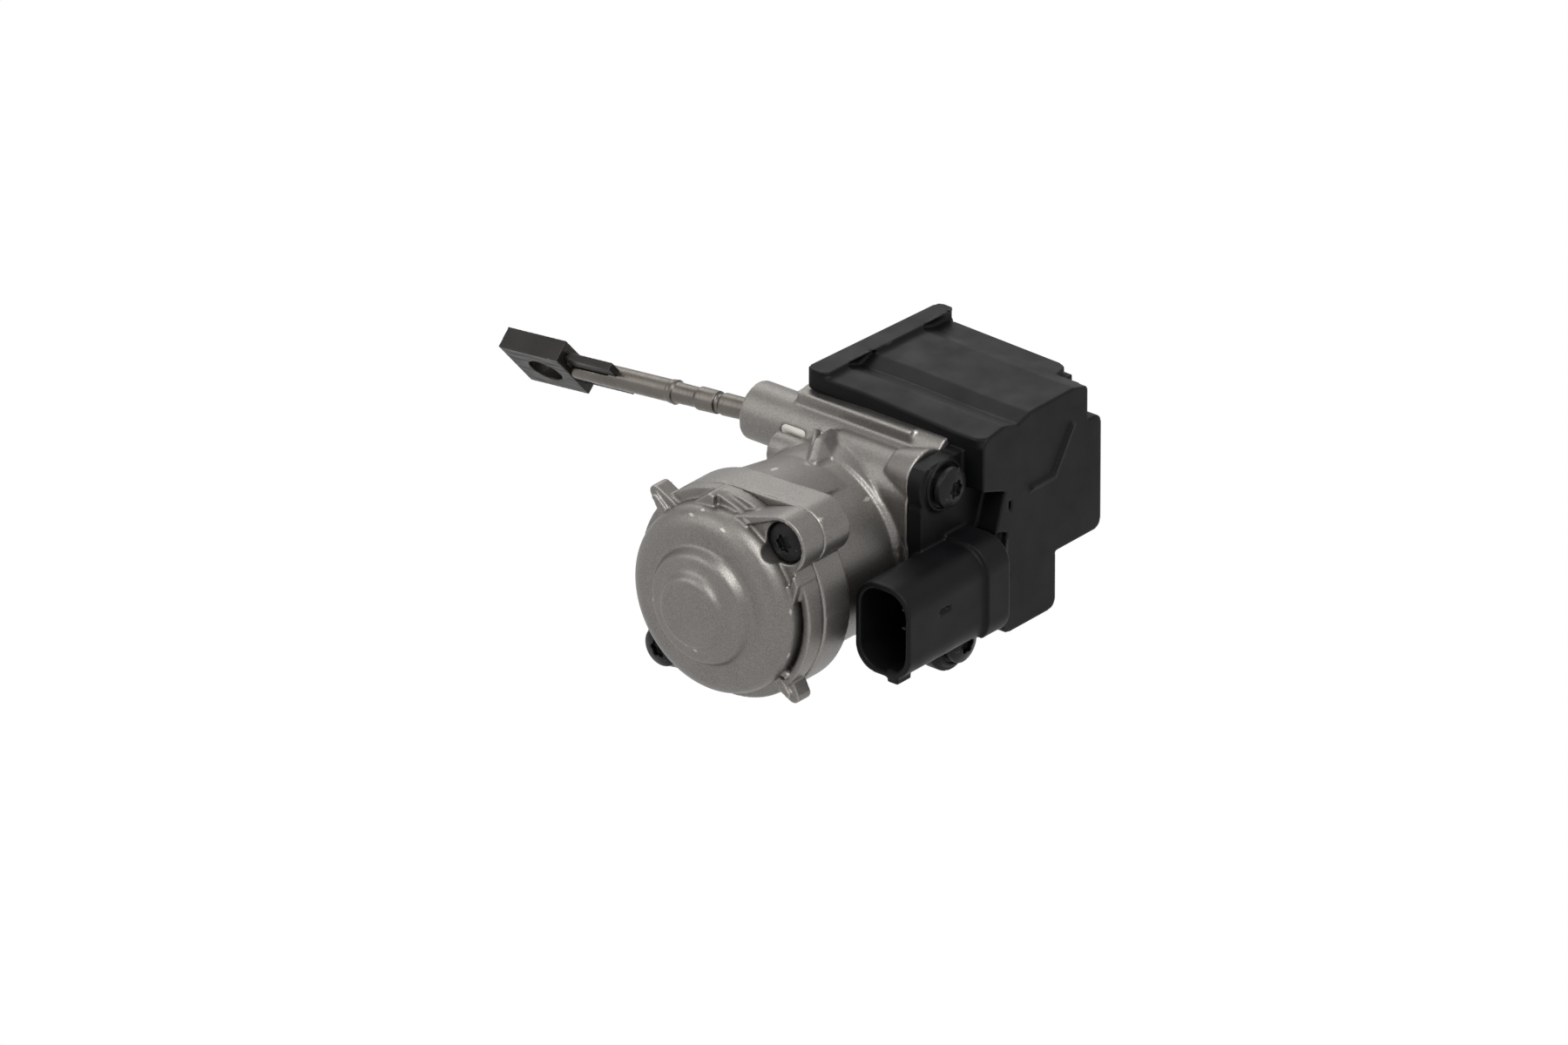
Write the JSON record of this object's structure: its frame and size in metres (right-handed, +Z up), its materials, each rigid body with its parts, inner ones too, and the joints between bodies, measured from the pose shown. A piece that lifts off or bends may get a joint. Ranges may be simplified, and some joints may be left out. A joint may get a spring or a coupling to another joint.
{
  "type": "wastegate actuator",
  "caption": "Electric actuator with a cast motor housing, black cover with a connector socket, and a push rod that slides and swings to move a wastegate lever.",
  "frame": {"origin": "mouth of the front mounting thread on the left wall of the gear chamber", "axes": "+X against the push rod, toward the cover; +Y along the motor axis, from the cap to the gear chamber; +Z up"},
  "size_m": [0.1453, 0.1095, 0.0621],
  "materials": {
    "cast_aluminium": "as cast, fine shot-blasted grain",
    "black_nylon": "glass-filled nylon, satin",
    "black_steel": "black zinc, satin",
    "bright_steel": "turned",
    "dark_steel": "dark phosphate",
    "ferrite": "sintered",
    "carbon": "pressed carbon",
    "copper": "drawn, tinned",
    "bronze": "sintered",
    "white_nylon": "moulded, natural",
    "rubber": "moulded",
    "board": "solder mask"
  },
  "bodies": {
    "housing": {"gear_housing": "cast_aluminium", "motor_cap": "cast_aluminium", "cap_screws": "black_steel", "cover": "black_nylon", "cover_screws": "black_steel", "screw_sleeves": "bright_steel", "connector_pins": "copper", "cover_gasket": "rubber", "cap_gasket": "rubber", "rod_bush": "white_nylon", "rod_seal": "rubber", "motor_can": "bright_steel", "motor_end_plate": "dark_steel", "motor_magnets": "ferrite", "brushes": "carbon", "front_bush": "bronze", "rear_bush": "bronze", "gear_pins": "bright_steel", "sensor_board": "board"},
    "rotor": {"motor_shaft": "bright_steel", "armature": "copper", "commutator": "copper", "motor_pinion": "bright_steel"},
    "reduction": {"reduction_gear": "white_nylon"},
    "output": {"output_gear": "white_nylon"},
    "slider": {"rack_slider": "white_nylon", "position_magnet": "ferrite"},
    "rod": {"push_rod": "bright_steel", "rod_end_block": "dark_steel"}
  },
  "joints": [
    {"name": "rotor_turn", "type": "hinge", "parent": "housing", "child": "rotor", "pos_m": [0.0195, -0.003, 0.013], "axis": [0, -1, 0], "range_deg": [-916, 407]},
    {"name": "reduction_turn", "type": "hinge", "parent": "housing", "child": "reduction", "pos_m": [0.03178, 0.005, 0.01531], "axis": [0, -1, 0], "range_deg": [-102, 229.5]},
    {"name": "output_turn", "type": "hinge", "parent": "housing", "child": "output", "pos_m": [0.0185, 0.005, 0.0231], "axis": [0, -1, 0], "range_deg": [-86, 39]},
    {"name": "rod_slide", "type": "slide", "parent": "housing", "child": "slider", "axis": [-1, 0, 0], "range_m": [-0.009, 0.004]},
    {"name": "rod_swing", "type": "hinge", "parent": "slider", "child": "rod", "pos_m": [-0.0045, 0.005, 0.0313], "axis": [0, 1, 0], "range_deg": [0, 11.8]}
  ],
  "couplings": [
    {"joint": "reduction_turn", "follows": "rotor_turn", "ratio": -0.25},
    {"joint": "output_turn", "follows": "rotor_turn", "ratio": 0.09375},
    {"joint": "rod_slide", "follows": "rotor_turn", "m_per_rad": 0.0005625}
  ]
}
